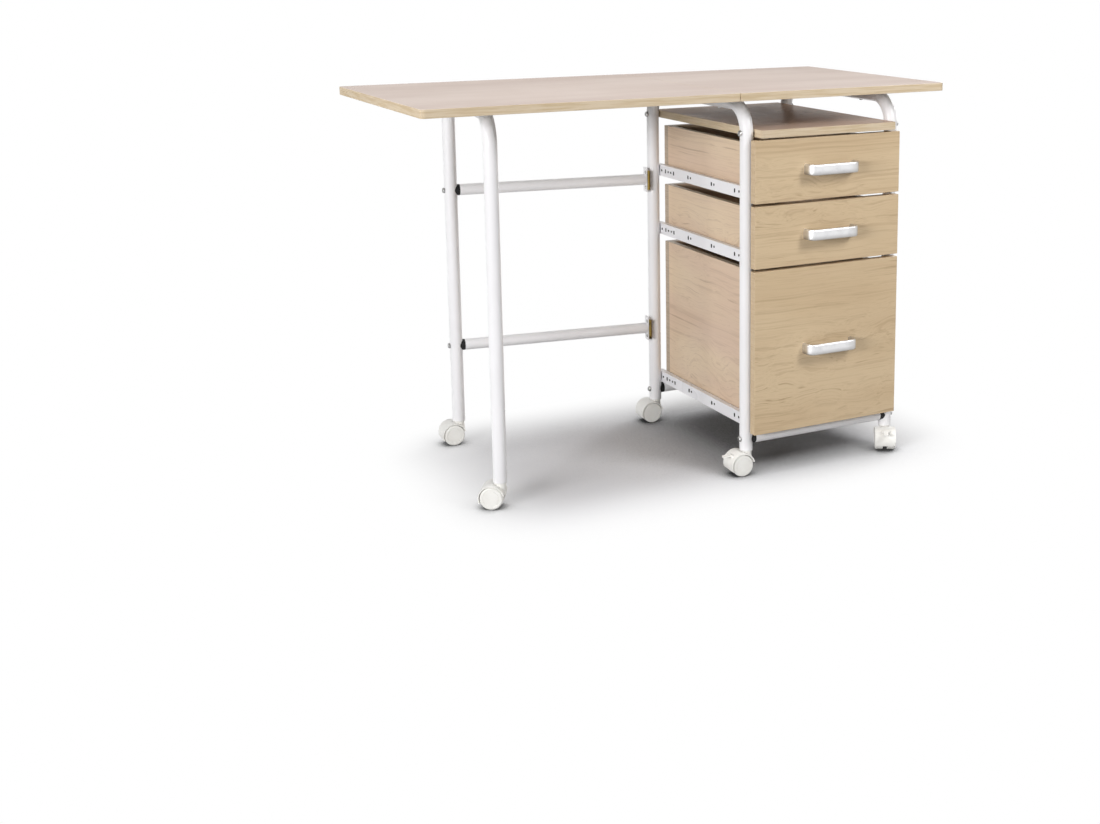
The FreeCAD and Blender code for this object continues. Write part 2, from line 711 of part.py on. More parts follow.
def stretcher_caps():
    """Black plugs between the stretchers and the gate's rear post."""
    return [at_gate(saddle_cap(-GATE_REACH, GATE_SET, z, RIGHT)) for z in STRETCHER_HEIGHTS]


def gate_bolts():
    """Bolts through the gate's rear post into the stretchers."""
    head = -GATE_REACH - TUBE / 2 - SEAT
    length = TUBE + 2 * SEAT + BOLT_GRIP
    return [at_gate(bolt(V(head, GATE_SET, z), RIGHT, length)) for z in STRETCHER_HEIGHTS]


def knuckle_spans(z, ends):
    """Height spans of a gate hinge's outer or middle knuckle parts."""
    low, high = z - HINGE_HEIGHT / 2, z + HINGE_HEIGHT / 2
    if ends:
        return [(low, z - KNUCKLE_PART / 2 - KNUCKLE_SLIT), (z + KNUCKLE_PART / 2 + KNUCKLE_SLIT, high)]
    return [(z - KNUCKLE_PART / 2, z + KNUCKLE_PART / 2)]


def gate_hinge_leaf(z, side):
    """One leaf of a gate hinge: side 1 is fixed to the post, side -1 swings with the gate."""
    near, far = sorted((side * HINGE_SLIT, side * (HINGE_SLIT + HINGE_SHEET)))
    reach = KNUCKLE / 2 + KNUCKLE_SLIT
    leaf = box(near, far, reach, FLANGE_END, z - HINGE_HEIGHT / 2, z + HINGE_HEIGHT / 2)
    for low, high in knuckle_spans(z, side > 0):
        barrel = rod(KNUCKLE, V(0, 0, low), UP, high - low)
        leaf = joined(leaf, barrel, box(near, far, 0, reach, low, high))
    leaf = leaf.cut(rod(HINGE_PIN + 2 * PIN_CLEAR, V(0, 0, z - HINGE_HEIGHT), UP, 2 * HINGE_HEIGHT))
    space, place = gate_hinge_holes(side)
    for step in (-1, 1):
        hole = V(near - OVERCUT, place, z + step * space / 2)
        leaf = drilled(leaf, SCREW_SHANK, hole, RIGHT, HINGE_SHEET + 2 * OVERCUT)
    return at_gate(leaf)


def gate_hinge_holes(side):
    """Spacing and place of a hinge leaf's two screws."""
    if side > 0:
        return BRACKET_SCREW_SPACE, BRACKET_SCREW_SET
    return FLANGE_SCREW_SPACE, FLANGE_SCREW_SET


def gate_hinge_bracket(z):
    """Plate behind a fixed hinge leaf, with the weld that holds it to the post."""
    x0 = HINGE_SLIT + HINGE_SHEET
    half = HINGE_HEIGHT / 2
    plate = box(x0, x0 + BRACKET, FLANGE_START, FLANGE_END, z - half, z + half)
    weld = box(x0, x0 + BRACKET + WELD, POST_SET - FLANGE_START, FLANGE_END, z - half, z + half)
    shape = joined(plate, weld)
    shape = shape.cut(rod(TUBE + 2 * SEAT, V(POST_OFFSET, POST_SET, z - HINGE_HEIGHT), UP, 2 * HINGE_HEIGHT))
    for step in (-1, 1):
        hole = V(x0 - OVERCUT, BRACKET_SCREW_SET, z + step * BRACKET_SCREW_SPACE / 2)
        shape = drilled(shape, SCREW_SHANK, hole, RIGHT, BRACKET + 2 * OVERCUT)
    return at_gate(shape)


def bracket_screws():
    """Screws that hold the fixed hinge leaves to their brackets."""
    x = HINGE_SLIT + HINGE_SHEET + BRACKET
    screws = []
    for z in STRETCHER_HEIGHTS:
        for step in (-1, 1):
            seat = V(x, BRACKET_SCREW_SET, z + step * BRACKET_SCREW_SPACE / 2)
            screws.append(at_gate(fastener(seat, LEFT, BRACKET_SCREW_HEAD, SCREW_HEAD_HEIGHT,
                                           SCREW_SHANK, BRACKET + HINGE_SHEET)))
    return screws


def gate_hinge_screws():
    """Screws that hold the swinging hinge leaves to the stretchers' flange plates."""
    x = -HINGE_SLIT - HINGE_SHEET - FLANGE
    screws = []
    for z in STRETCHER_HEIGHTS:
        for step in (-1, 1):
            seat = V(x, FLANGE_SCREW_SET, z + step * FLANGE_SCREW_SPACE / 2)
            screws.append(at_gate(screw(seat, RIGHT, FLANGE + HINGE_SHEET)))
    return screws


def hinge_pins():
    """Pins of the gate hinges and of the hinges under the seam."""
    pins = []
    for z in STRETCHER_HEIGHTS:
        pins.append(at_gate(rod(HINGE_PIN, V(0, 0, z - HINGE_HEIGHT / 2), UP, HINGE_HEIGHT)))
    for y in SEAM_HINGE_PLACES:
        start = V(SEAM_X, y - SEAM_HINGE_LENGTH / 2, SEAM_AXIS_Z)
        pins.append(rod(HINGE_PIN, start, BACK, SEAM_HINGE_LENGTH))
    return pins


def seam_hinge_leaf(y, side):
    """One leaf of a hinge under the seam: side 1 on the fixed top, side -1 on the drop leaf."""
    half = SEAM_HINGE_LENGTH / 2
    part = SEAM_HINGE_LENGTH / 6
    near = SEAM_X + side * (SEAM_KNUCKLE / 2 + KNUCKLE_SLIT)
    far = SEAM_X + side * SEAM_HINGE_WIDTH
    low = UNDERSIDE - HINGE_SHEET
    leaf = box(min(near, far), max(near, far), y - half, y + half, low, UNDERSIDE)
    spans = [(y - half, y - part - KNUCKLE_SLIT), (y + part + KNUCKLE_SLIT, y + half)]
    if side < 0:
        spans = [(y - part, y + part)]
    for start, end in spans:
        barrel = rod(SEAM_KNUCKLE, V(SEAM_X, start, SEAM_AXIS_Z), BACK, end - start)
        web = box(min(SEAM_X, near), max(SEAM_X, near), start, end, low, UNDERSIDE)
        leaf = joined(leaf, barrel, web)
    start = V(SEAM_X, y - half - OVERCUT, SEAM_AXIS_Z)
    leaf = leaf.cut(rod(HINGE_PIN + 2 * PIN_CLEAR, start, BACK, SEAM_HINGE_LENGTH + 2 * OVERCUT))
    for x, place in seam_screw_places(side):
        leaf = drilled(leaf, SCREW_SHANK, V(x, place, low - OVERCUT), UP, HINGE_SHEET + 2 * OVERCUT)
    return leaf


def leaf_hinge_screws():
    """Screws of the seam hinges in the drop leaf."""
    return [screw(V(x, y, UNDERSIDE - HINGE_SHEET), UP, HINGE_SHEET + SCREW_BITE)
            for x, y in seam_screw_places(-1)]


def caster_socket(x, y):
    """Bush in a tube's end that the caster's stem turns in."""
    plug = rod(TUBE - 2 * TUBE_WALL - 2 * SEAT, V(x, y, POST_FOOT), UP, SOCKET_LENGTH)
    flange = rod(TUBE, V(x, y, POST_FOOT - SOCKET_FLANGE), UP, SOCKET_FLANGE)
    bore = rod(STEM + 2 * HOLE_CLEAR, V(x, y, POST_FOOT - SOCKET_FLANGE), UP, SOCKET_FLANGE + SOCKET_LENGTH)
    return joined(plug, flange).cut(bore)


def at_caster(shape, place):
    """Turns a caster piece to its trailing direction and puts it under its post."""
    x, y, trail = place
    shape.rotate(V(0, 0, 0), UP, trail)
    shape.translate(V(x, y, 0))
    return shape


def across(diameter, x, z, y0, y1):
    """Cylinder along the caster's axle direction."""
    return rod(diameter, V(x, y0, z), BACK, y1 - y0)


def lever_axis():
    """Pivot of a brake lever, outside the hood's arch."""
    reach = HOOD_OUTER + LEVER_LIFT
    angle = math.radians(LEVER_ANGLE)
    return CASTER_TRAIL + reach * math.cos(angle), AXLE_Z + reach * math.sin(angle)


def lug(y0, y1):
    """Ear on the hood that carries one end of the brake lever's pivot."""
    x, z = lever_axis()
    ear = across(2 * LEVER_LIFT, x, z, y0, y1)
    root = box(-LEVER_LIFT, LEVER_LIFT, y0, y1, -LEVER_LIFT - HOOD_WALL / 2, 0)
    root.rotate(V(0, 0, 0), BACK, 90 - LEVER_ANGLE)
    root.translate(V(x, 0, z))
    return joined(ear, root)


def caster_hood(braked):
    """Hood over two wheels: an arch, a middle web with the axle's boss, a neck and a stem."""
    half, web = CASTER_WIDTH / 2, CASTER_WEB / 2
    shape = across(2 * HOOD_OUTER, CASTER_TRAIL, AXLE_Z, -half, half)
    below = box(-WHEEL, WHEEL, -WHEEL, WHEEL, -2 * WHEEL, -HOOD_DROP)
    below.rotate(V(0, 0, 0), BACK, HOOD_TILT)
    below.translate(V(CASTER_TRAIL, 0, AXLE_Z))
    shape = shape.cut(below)
    neck_foot = HOOD_TOP - HOOD_NECK_LENGTH
    flare = HOOD_NECK / 2 + HOOD_NECK_FLARE
    neck = Part.makeCone(flare, HOOD_NECK / 2, HOOD_NECK_LENGTH, V(0, 0, neck_foot))
    root = rod(HOOD_NECK, V(0, 0, AXLE_Z + HOOD_WALL), UP, neck_foot - AXLE_Z)
    boss = across(HOOD_BOSS, CASTER_TRAIL, AXLE_Z, -web, web)
    shape = shape.fuse([neck, root, boss])
    if braked:
        inner = LEVER_WIDTH / 2 + LUG_GAP
        shape = shape.fuse([lug(inner, inner + LUG_WALL), lug(-inner - LUG_WALL, -inner)])
    for y0, y1 in ((-2 * half, -web), (web, 2 * half)):
        shape = shape.cut(across(2 * HOOD_INNER, CASTER_TRAIL, AXLE_Z, y0, y1))
    shape = shape.cut(across(AXLE + 2 * HOLE_CLEAR, CASTER_TRAIL, AXLE_Z, -web, web))
    if braked:
        x, z = lever_axis()
        shape = shape.cut(across(LEVER_PIN + 2 * HOLE_CLEAR, x, z, -half, half))
    stem_foot = V(0, 0, HOOD_TOP - HOOD_WALL)
    stem = rod(STEM, stem_foot, UP, HOOD_WALL + SWIVEL_GAP + SOCKET_FLANGE + STEM_LENGTH)
    return shape.fuse(stem).removeSplitter().Solids[0]


def caster_wheels():
    """Two wheels pressed on one axle."""
    inner, outer = CASTER_WEB / 2 + WHEEL_SLIT, CASTER_WIDTH / 2 - WHEEL_INSET
    disc = Part.makeCylinder(WHEEL / 2, outer - inner, V(0, 0, inner))
    disc = disc.makeFillet(WHEEL_EDGE, level_edges(disc, outer))
    ring = Part.makeCylinder(WHEEL_GROOVE / 2, WHEEL_GROOVE_DEPTH, V(0, 0, outer - WHEEL_GROOVE_DEPTH))
    ring = ring.cut(Part.makeCylinder(WHEEL_GROOVE / 2 - WHEEL_GROOVE_WIDTH, WHEEL, V(0, 0, 0)))
    disc = disc.cut(ring)
    disc = disc.cut(Part.makeCylinder(AXLE / 2 + PIN_CLEAR, AXLE_LENGTH / 2 + HOLE_CLEAR))
    pieces = [disc, disc.mirror(V(0, 0, 0), UP), rod(AXLE, V(0, 0, -AXLE_LENGTH / 2), UP, AXLE_LENGTH)]
    for piece in pieces:
        piece.rotate(V(0, 0, 0), RIGHT, -90)
        piece.translate(V(CASTER_TRAIL, 0, AXLE_Z))
    return pieces


def brake_lever():
    """Foot tab on a barrel that turns on two trunnions in the hood's ears."""
    x, z = lever_axis()
    half = LEVER_WIDTH / 2
    barrel = across(LEVER_BARREL, x, z, -half, half)
    pin = across(LEVER_PIN, x, z, -half - LUG_GAP - LUG_WALL, half + LUG_GAP + LUG_WALL)
    tab = box(0, LEVER_LENGTH, -half, half, -LEVER_SHEET / 2, LEVER_SHEET / 2)
    tab = tab.makeFillet(LEVER_WIDTH / 4, upright_edges(tab, LEVER_LENGTH))
    tab.rotate(V(0, 0, 0), BACK, LEVER_TILT)
    tab.translate(V(x, 0, z))
    return joined(barrel, pin, tab)


def nodes():
    """Every sub-part by name, each a solid or a list of like solids."""
    parts = {
        "fixed_top": fixed_top(),
        "leaf_board": leaf_board(),
        "left_side_frame": left_side_frame(),
        "right_side_frame": mirrored(left_side_frame()),
        "shelf_board": shelf_board(),
        "cross_tubes": cross_tubes(),
        "cross_tube_caps": cross_tube_caps(),
        "frame_bolts": frame_bolts(),
        "pedestal_screws": pedestal_screws(),
        "outer_rails": both_sides([outer_rail(z) for z in rail_levels()]),
        "rail_rollers": both_sides([roller(ROLLER_PLACE, front_roller_height(z)) for z in rail_levels()]),
        "leaf_hinge_fixed_leaves": [seam_hinge_leaf(y, 1) for y in SEAM_HINGE_PLACES],
        "leaf_hinge_moving_leaves": [seam_hinge_leaf(y, -1) for y in SEAM_HINGE_PLACES],
        "leaf_hinge_screws": leaf_hinge_screws(),
        "hinge_pins": hinge_pins(),
        "gate_frame": gate_frame(),
        "gate_stretchers": gate_stretchers(),
        "stretcher_caps": stretcher_caps(),
        "gate_bolts": gate_bolts(),
        "gate_hinge_brackets": [gate_hinge_bracket(z) for z in STRETCHER_HEIGHTS],
        "gate_hinge_fixed_leaves": [gate_hinge_leaf(z, 1) for z in STRETCHER_HEIGHTS],
        "gate_hinge_moving_leaves": [gate_hinge_leaf(z, -1) for z in STRETCHER_HEIGHTS],
        "gate_hinge_screws": gate_hinge_screws(),
        "caster_sockets": [caster_socket(x, y) for x in (0, POST_SPAN) for y in (0, POST_DEPTH)],
        "gate_caster_sockets": [caster_socket(*GATE_REAR_POST), caster_socket(*GATE_FRONT_POST)],
    }
    for name, (bottom, height, drop) in DRAWERS.items():
        parts[name + "_drawer_front"] = drawer_front(bottom, height)
        parts[name + "_drawer_sides"] = drawer_sides(bottom, height, drop)
        parts[name + "_drawer_back"] = drawer_back(bottom, height, drop)
        parts[name + "_drawer_bottom"] = panel_box(bottom, 0)
        parts[name + "_drawer_handle"] = drawer_handle(bottom, height)
        parts[name + "_drawer_runners"] = drawer_runners(bottom)
        parts[name + "_drawer_screws"] = drawer_screws(bottom, height)
    for name, place in CASTERS.items():
        parts[name + "_caster_hood"] = at_caster(caster_hood(name in BRAKED), place)
        parts[name + "_caster_wheels"] = [at_caster(piece, place) for piece in caster_wheels()]
        if name in BRAKED:
            parts[name + "_brake_lever"] = at_caster(brake_lever(), place)
    return parts


def main():
    """Writes one file per sub-part, with the origin at the middle of the covered floor."""
    os.makedirs("parts", exist_ok=True)
    for name, shape in nodes().items():
        if isinstance(shape, list):
            shape = Part.makeCompound([solid for piece in shape for solid in piece.Solids])
        shape.translate(-ORIGIN)
        shape.exportStep("parts/" + name + ".step")


if __name__ == "__main__":
    main()
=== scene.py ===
import math

import bpy
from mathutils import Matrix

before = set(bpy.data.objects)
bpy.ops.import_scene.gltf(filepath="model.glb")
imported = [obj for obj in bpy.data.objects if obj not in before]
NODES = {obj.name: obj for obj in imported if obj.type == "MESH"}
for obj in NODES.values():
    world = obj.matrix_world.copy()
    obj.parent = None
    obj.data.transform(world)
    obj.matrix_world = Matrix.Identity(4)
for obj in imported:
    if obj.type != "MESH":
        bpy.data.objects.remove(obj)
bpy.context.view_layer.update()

# Camera of the photograph: a 1100 x 824 frame, with the desk in its upper right part
FRAME_WIDTH = 1100
FRAME_HEIGHT = 824
FOCAL_PIXELS = 1505.2
AXIS_PIXEL = (730.0, 245.0)
CAMERA_PLACE = (-1.2559, -2.5775, 0.9750)
CAMERA_PITCH = 10.999
CAMERA_YAW = 29.306
SENSOR_WIDTH = 36.0

# Room: light of the world at the horizon and overhead, and the heights between which it rises
WORLD_LOW = 0.08
WORLD_HIGH = 0.33
DOME_FOOT = 0.10
DOME_HEAD = 0.70
CLEAR_WHITE = (1.0, 1.0, 1.0, 1.0)

# Floor: tones to the eye and as a bounce, and the patch around the desk that keeps its shadow
FLOOR_TONE = (0.768, 0.768, 0.79, 1.0)
FLOOR_BOUNCE = (0.42, 0.42, 0.42, 1.0)
MOTTLE_SCALE = 3.0
MOTTLE_LIFT = 1.03
FLOOR_RADIUS = 9.0
FLOOR_DROP = 0.0004
PATCH_MIDDLE = (0.07, 0.0, 0.0)
FLOOR_PATCH = (0.30, 0.13, 0.0)
FLOOR_FADE = 0.27

# Shade on the floor: a broad one under the desk and a short dark one where the casters touch
CONTACT_REACH = 0.40
CONTACT_DEPTH = 0.78
TOUCH_REACH = 0.045
TOUCH_DEPTH = 0.90
SHADE_RANGE = (0.25, 0.85)
SHADE_SAMPLES = 4
SHADE_TONE = (0.0, 0.0, 0.0, 1.0)

# Wood figure: scales along and across the grain, the part of each noise that shows, and its strength
ZONE_SCALE = (2.2, 8.0)
ZONE_RANGE = (0.50, 0.66)
WARP_SCALE = (9.0, 13.0)
CALM_PUSH = 0.008
BROAD_SCALE = (2.0, 9.0)
BROAD_RANGE = (0.32, 0.68)
GROWTH_SCALE = (1.1, 150.0)
GROWTH_RANGE = (0.50, 0.70)
GROWTH_SHARE = 0.30
FIBRE_SCALE = (6.0, 560.0)
FIBRE_RANGE = (0.46, 0.74)
FIBRE_SHARE = 0.20
FIBRE_HEIGHT = 0.6
STREAK_SCALE = (4.0, 190.0)
STREAK_SHIFT = (3.7, 1.1, 2.9)
STREAK_RANGE = (0.64, 0.76)
STREAK_SHARE = 0.55
PORE_SCALE = (40.0, 760.0)
PORE_RANGE = (0.66, 0.76)
PORE_SHARE = 0.22

# Boards: edge strips, backing sheet and the drift of their gloss
STRIP_SCALE = (14.0, 14.0, 320.0)
STRIP_FACING = (0.55, 0.80)
BACKING_SCALE = 240.0
BACKING_FACING = (-0.80, -0.55)
SHEET_RANGE = (0.35, 0.70)
BOARD_CLOUD_SCALE = (7.0, 7.0, 7.0)

# Coats, plastics and metals
GLOSS_RANGE = (0.3, 0.7)
# Painted shade on faces that look along one axis: how far a face must look along it
WALL_FACING = (0.30, 0.55)
FILM_SCALE = 5.0
FILM_RANGE = (0.30, 0.72)
FILM_DRIFT = 0.955
SPECK_SCALE = 900.0
SPECK_RANGE = (0.72, 0.80)
SPECK_SHARE = 0.06
SKIN_SCALE = 620.0
FLOW_SCALE = (26.0, 26.0, 40.0)
FLOW_RANGE = (0.35, 0.70)
MOULD_SCALE = 1100.0
STAIN_SCALE = 60.0
STAIN_RANGE = (0.42, 0.75)
BRUSH_RANGE = (0.50, 0.75)
BRUSH_SHARE = 0.25
# Painted shade along the handles' lower edge and a painted reflection at their right end
HANDLE_SHADE_RANGE = (0.0, 0.55)
HANDLE_SHADE_SHARE = 0.85
HANDLE_REFLECTION_RANGE = (0.72, 1.0)
HANDLE_REFLECTION_SHARE = 0.8

# Places of the colour sockets on a mix node
MIX_FIRST = 6
MIX_SECOND = 7
MIX_RESULT = 2


def srgb(red, green, blue):
    """Linear colour of an 8-bit screen colour."""
    def line(v):
        v = v / 255.0
        return v / 12.92 if v <= 0.04045 else ((v + 0.055) / 1.055) ** 2.4
    return (line(red), line(green), line(blue), 1.0)


class Paint:
    """One node material, with short calls for the nodes that the finishes share."""

    def __init__(self, name):
        self.material = bpy.data.materials.new(name)
        self.material.use_nodes = True
        self.tree = self.material.node_tree
        self.bsdf = self.tree.nodes["Principled BSDF"]
        places = self.node("ShaderNodeTexCoord")
        self.place = places.outputs["Object"]
        self.facing = places.outputs["Normal"]
        self.box = places.outputs["Generated"]

    def node(self, kind, **settings):
        made = self.tree.nodes.new(kind)
        for key, value in settings.items():
            setattr(made, key, value)
        return made

    def put(self, socket, value):
        """Links a socket, or sets it where the value is a plain number or colour."""
        if isinstance(value, bpy.types.NodeSocket):
            self.tree.links.new(value, socket)
        else:
            socket.default_value = value

    def scaled(self, vector, scale, shift=(0.0, 0.0, 0.0)):
        made = self.node("ShaderNodeMapping")
        self.put(made.inputs["Vector"], vector)
        made.inputs["Scale"].default_value = scale
        made.inputs["Location"].default_value = shift
        return made.outputs["Vector"]

    def noise(self, vector, scale=1.0, detail=3.0, rough=0.55, bend=0.0, output="Fac"):
        made = self.node("ShaderNodeTexNoise")
        self.put(made.inputs["Vector"], vector)
        made.inputs["Scale"].default_value = scale
        made.inputs["Detail"].default_value = detail
        made.inputs["Roughness"].default_value = rough
        made.inputs["Distortion"].default_value = bend
        return made.outputs[output]

    def ramp(self, value, low, high, to_low=0.0, to_high=1.0, smooth=True):
        made = self.node("ShaderNodeMapRange", interpolation_type="SMOOTHSTEP" if smooth else "LINEAR")
        self.put(made.inputs["Value"], value)
        made.inputs["From Min"].default_value = low
        made.inputs["From Max"].default_value = high
        made.inputs["To Min"].default_value = to_low
        made.inputs["To Max"].default_value = to_high
        return made.outputs["Result"]

    def math(self, how, first, second=0.0):
        made = self.node("ShaderNodeMath", operation=how)
        self.put(made.inputs[0], first)
        self.put(made.inputs[1], second)
        return made.outputs[0]

    def vector(self, how, first, second=(0.0, 0.0, 0.0)):
        made = self.node("ShaderNodeVectorMath", operation=how)
        self.put(made.inputs[0], first)
        self.put(made.inputs[1], second)
        return made.outputs["Vector"]

    def blend(self, share, first, second):
        made = self.node("ShaderNodeMix", data_type="RGBA")
        self.put(made.inputs[0], share)
        self.put(made.inputs[MIX_FIRST], first)
        self.put(made.inputs[MIX_SECOND], second)
        return made.outputs[MIX_RESULT]

    def axis(self, vector, which):
        made = self.node("ShaderNodeSeparateXYZ")
        self.put(made.inputs[0], vector)
        return made.outputs["XYZ".index(which)]

    def bump(self, height, strength, distance):
        made = self.node("ShaderNodeBump")
        self.put(made.inputs["Height"], height)
        made.inputs["Strength"].default_value = strength
        made.inputs["Distance"].default_value = distance
        self.put(self.bsdf.inputs["Normal"], made.outputs["Normal"])

    def surface(self, colour, roughness, metallic=0.0, specular=0.5):
        self.put(self.bsdf.inputs["Base Color"], colour)
        self.put(self.bsdf.inputs["Roughness"], roughness)
        self.bsdf.inputs["Metallic"].default_value = metallic
        self.bsdf.inputs["Specular IOR Level"].default_value = specular

    def recolour(self, share, tone):
        """Lays another tone over the colour where the share says so."""
        socket = self.bsdf.inputs["Base Color"]
        self.put(socket, self.blend(share, socket.links[0].from_socket, tone))


def stretched(scales, grain):
    """Scale of a mapping, from its values along and across the grain."""
    along, across = scales
    return tuple(along if name == grain else across for name in "XYZ")


def wood_tone(paint, grain, tones, shift, contrast, swirl):
    """Printed wood figure: tone drift, growth lines that swirl in places, fine fibres and short pores.

    Gives colour and height.
    """
    light, middle, dark = tones

    def figure(place, scales, detail, rough=0.55, offset=(0.0, 0.0, 0.0)):
        return paint.noise(paint.scaled(place, stretched(scales, grain), offset), detail=detail, rough=rough)

    at = paint.scaled(paint.place, (1.0, 1.0, 1.0), shift)
    zone = paint.ramp(figure(at, ZONE_SCALE, detail=1.0), *ZONE_RANGE)
    warp = paint.noise(paint.scaled(at, stretched(WARP_SCALE, grain)), detail=1.5, rough=0.5, output="Color")
    centred = paint.vector("SUBTRACT", warp, (0.5, 0.5, 0.5))
    sideways = paint.vector("MULTIPLY", centred, stretched((0.0, 1.0), grain))
    push = paint.node("ShaderNodeVectorMath", operation="SCALE")
    paint.put(push.inputs[0], sideways)
    paint.put(push.inputs["Scale"], paint.ramp(zone, 0.0, 1.0, CALM_PUSH, CALM_PUSH + swirl, smooth=False))
    bent = paint.vector("ADD", at, push.outputs["Vector"])
    broad = paint.ramp(figure(at, BROAD_SCALE, detail=3.0, rough=0.5), *BROAD_RANGE)
    lines = paint.ramp(figure(bent, GROWTH_SCALE, detail=3.0, rough=0.62), *GROWTH_RANGE)
    fibres = paint.ramp(figure(bent, FIBRE_SCALE, detail=2.5, rough=0.6), *FIBRE_RANGE)
    rare = figure(bent, STREAK_SCALE, detail=2.0, rough=0.5, offset=STREAK_SHIFT)
    streaks = paint.ramp(rare, *STREAK_RANGE)
    pores = paint.ramp(figure(at, PORE_SCALE, detail=1.5, rough=0.5), *PORE_RANGE)
    colour = paint.blend(broad, light, middle)
    layers = ((lines, GROWTH_SHARE), (fibres, FIBRE_SHARE), (streaks, STREAK_SHARE), (pores, PORE_SHARE))
    for layer, share in layers:
        colour = paint.blend(paint.math("MULTIPLY", layer, share * contrast), colour, dark)
    height = paint.math("ADD", paint.math("MULTIPLY", fibres, FIBRE_HEIGHT), pores)
    return colour, height


def laminate(name, grain, tones, shift, contrast, band=None, band_axis="", swirl=0.035, roughness=0.42,
             specular=0.45):
    """Paper-faced board. band recolours the faces that look along the band axes: the edge strips."""
    paint = Paint(name)
    colour, height = wood_tone(paint, grain, tones, shift, contrast, swirl)
    if band is not None:
        share = None
        for axis in band_axis:
            flat = paint.math("ABSOLUTE", paint.axis(paint.facing, axis))
            facing = paint.ramp(flat, *STRIP_FACING)
            share = facing if share is None else paint.math("MAXIMUM", share, facing)
        strip = paint.noise(paint.scaled(paint.place, STRIP_SCALE), rough=0.6)
        colour = paint.blend(share, colour, paint.blend(paint.ramp(strip, *SHEET_RANGE), *band))
    cloud = paint.noise(paint.scaled(paint.place, BOARD_CLOUD_SCALE), detail=2.0)
    gloss = paint.ramp(cloud, *GLOSS_RANGE, to_low=roughness - 0.05, to_high=roughness + 0.05)
    paint.surface(colour, gloss, specular=specular)
    paint.bump(height, strength=0.25, distance=0.00012)
    return paint


def powder(name, tone, roughness=0.34, peel=0.10):
    """Powder-coated steel: an even pale film with a fine orange-peel skin."""
    paint = Paint(name)
    film = paint.noise(paint.place, FILM_SCALE)
    darker = tuple(c * FILM_DRIFT for c in tone[:3]) + (1.0,)
    colour = paint.blend(paint.ramp(film, *FILM_RANGE), tone, darker)
    specks = paint.ramp(paint.noise(paint.place, SPECK_SCALE, detail=2.0), *SPECK_RANGE)
    colour = paint.blend(paint.math("MULTIPLY", specks, SPECK_SHARE), colour, SPECK_TONE)
    gloss = paint.ramp(film, *GLOSS_RANGE, to_low=roughness - 0.04, to_high=roughness + 0.05)
    paint.surface(colour, gloss)
    paint.bump(paint.noise(paint.place, SKIN_SCALE, detail=2.0), strength=peel, distance=0.0003)
    return paint


def plastic(name, tone, deeper, roughness, specular=0.45):
    """Moulded plastic: faint flow clouds and a fine spark-eroded texture."""
    paint = Paint(name)
    flow = paint.noise(paint.scaled(paint.place, FLOW_SCALE), bend=0.6)
    colour = paint.blend(paint.ramp(flow, *FLOW_RANGE), tone, deeper)
    texture = paint.noise(paint.place, MOULD_SCALE, rough=0.6)
    gloss = paint.ramp(texture, *GLOSS_RANGE, to_low=roughness - 0.05, to_high=roughness + 0.06)
    paint.surface(colour, gloss, specular=specular)
    paint.bump(texture, strength=0.08, distance=0.0002)
    return paint


def metal(name, tone, stain, roughness, brush, brush_scale, bump=0.05):
    """Bare or plated metal: brushed streaks and faint stains."""
    paint = Paint(name)
    streaks = paint.noise(paint.scaled(paint.place, stretched(brush_scale, brush)))
    clouds = paint.noise(paint.place, STAIN_SCALE)
    colour = paint.blend(paint.ramp(clouds, *STAIN_RANGE), tone, stain)
    colour = paint.blend(paint.ramp(streaks, *BRUSH_RANGE, to_high=BRUSH_SHARE), colour, stain)
    gloss = paint.ramp(streaks, *GLOSS_RANGE, to_low=roughness - 0.06, to_high=roughness + 0.08)
    paint.surface(colour, gloss, metallic=1.0)
    paint.bump(streaks, strength=bump, distance=0.0002)
    return paint


def painted_face_shade(paint, axis, tone):
    """Paints shade on the faces that look along one axis: the walls of the rails' punched holes and the
    runners' outward webs seen through them.
    """
    paint.recolour(paint.ramp(paint.math("ABSOLUTE", paint.axis(paint.facing, axis)), *WALL_FACING), tone)


def painted_handle_shade(paint, low, end):
    """Paints a satin bar a deeper grey along its lower edge, as painted shade, and at its right end, as a
    painted reflection.
    """
    down = paint.ramp(paint.axis(paint.box, "Z"), *HANDLE_SHADE_RANGE, to_low=HANDLE_SHADE_SHARE, to_high=0.0)
    right = paint.ramp(paint.axis(paint.box, "X"), *HANDLE_REFLECTION_RANGE, to_high=HANDLE_REFLECTION_SHARE)
    paint.recolour(down, low)
    paint.recolour(right, end)


def board_faces(paint, under):
    """Gives the downward face of a board its plain backing sheet."""
    down = paint.ramp(paint.axis(paint.facing, "Z"), *BACKING_FACING, to_low=1.0, to_high=0.0)
    mottle = paint.noise(paint.place, BACKING_SCALE)
    paint.recolour(down, paint.blend(paint.ramp(mottle, *SHEET_RANGE), *under))


TOP_TONES = (srgb(190, 177, 169), srgb(181, 167, 159), srgb(153, 134, 121))
SHELF_TONES = (srgb(204, 178, 160), srgb(194, 167, 149), srgb(156, 128, 110))
FRONT_TONES = (srgb(210, 187, 153), srgb(199, 174, 139), srgb(154, 125, 92))
SIDE_TONES = (srgb(222, 199, 170), srgb(216, 189, 166), srgb(166, 134, 107))
BOTTOM_TONES = (srgb(226, 214, 196), srgb(216, 203, 184), srgb(188, 170, 146))
BAND_TONES = (srgb(215, 198, 173), srgb(199, 178, 145))
FRONT_BAND = (srgb(204, 181, 148), srgb(194, 169, 135))
END_TONES = (srgb(182, 164, 144), srgb(168, 149, 128))
BACKING_TONES = (srgb(226, 222, 214), srgb(216, 211, 202))
FRAME_TONE = srgb(244, 243, 245)
RAIL_TONE = srgb(242, 241, 244)
SPECK_TONE = srgb(170, 168, 166)
# Painted shade: the rail faces that look along Y, the walls of the punched holes and the rail ends
HOLE_SHADE_TONE = srgb(22, 22, 23)
